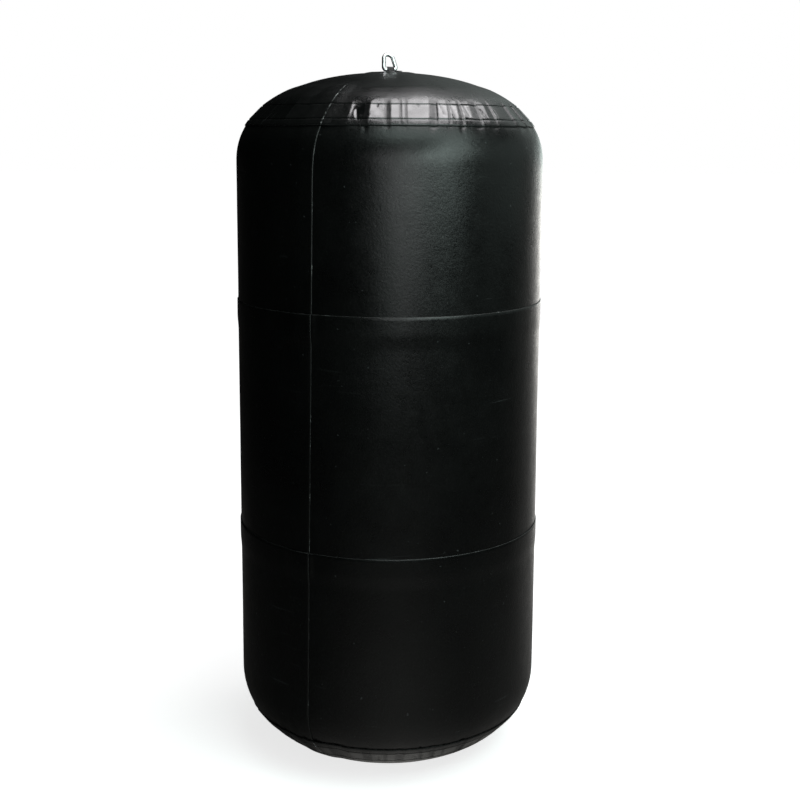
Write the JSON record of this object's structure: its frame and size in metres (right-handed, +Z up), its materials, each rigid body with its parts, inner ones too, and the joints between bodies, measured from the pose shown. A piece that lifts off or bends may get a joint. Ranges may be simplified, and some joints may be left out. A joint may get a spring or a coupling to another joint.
{
  "type": "pneumatic fender",
  "caption": "Upright air-filled cylindrical boat fender of welded black coated fabric with rounded ends, a steel lifting ring in a strap on the crown and an inflation valve behind it.",
  "frame": {"origin": "middle of the flat spot that the fender stands on, at floor level", "axes": "+Z up along the fender's length, -Y the front as pictured, +X to the right of the front"},
  "size_m": [0.6031, 0.603, 1.399],
  "materials": {
    "coated_fabric": "satin black coated fabric with a fine grain",
    "strap_fabric": "matte black reinforced strap fabric",
    "polished_steel": "polished stainless steel",
    "spring_steel": "plain spring wire",
    "black_plastic": "moulded black plastic",
    "seal_rubber": "matte seal rubber"
  },
  "bodies": {
    "air_body": {"upper_wall_panel": "coated_fabric", "middle_wall_panel": "coated_fabric", "lower_wall_panel": "coated_fabric", "top_end_disc": "coated_fabric", "bottom_end_disc": "coated_fabric", "ring_patch": "coated_fabric", "ring_strap": "strap_fabric", "valve_body": "black_plastic", "valve_gasket": "seal_rubber", "valve_nut": "black_plastic", "valve_spring": "spring_steel"},
    "ring": {"lifting_ring": "polished_steel"},
    "cap": {"valve_cap": "black_plastic"},
    "poppet": {"valve_poppet": "black_plastic"}
  },
  "joints": [
    {"name": "ring_swing", "type": "hinge", "parent": "air_body", "child": "ring", "pos_m": [0, 0, 1.3661], "axis": [0.9063, 0.4226, 0], "range_deg": [-60, 100]},
    {"name": "cap_turn", "type": "hinge", "parent": "air_body", "child": "cap", "pos_m": [0, 0.12, 1.34918], "axis": [0, 0.2022, 0.9794], "range_deg": [0, 90]},
    {"name": "poppet_press", "type": "slide", "parent": "air_body", "child": "poppet", "axis": [0, 0.2022, 0.9794], "range_m": [-0.0045, 0], "stiffness_N_per_m": 300, "springref_m": 0.002, "deforming": ["valve_spring"]}
  ]
}
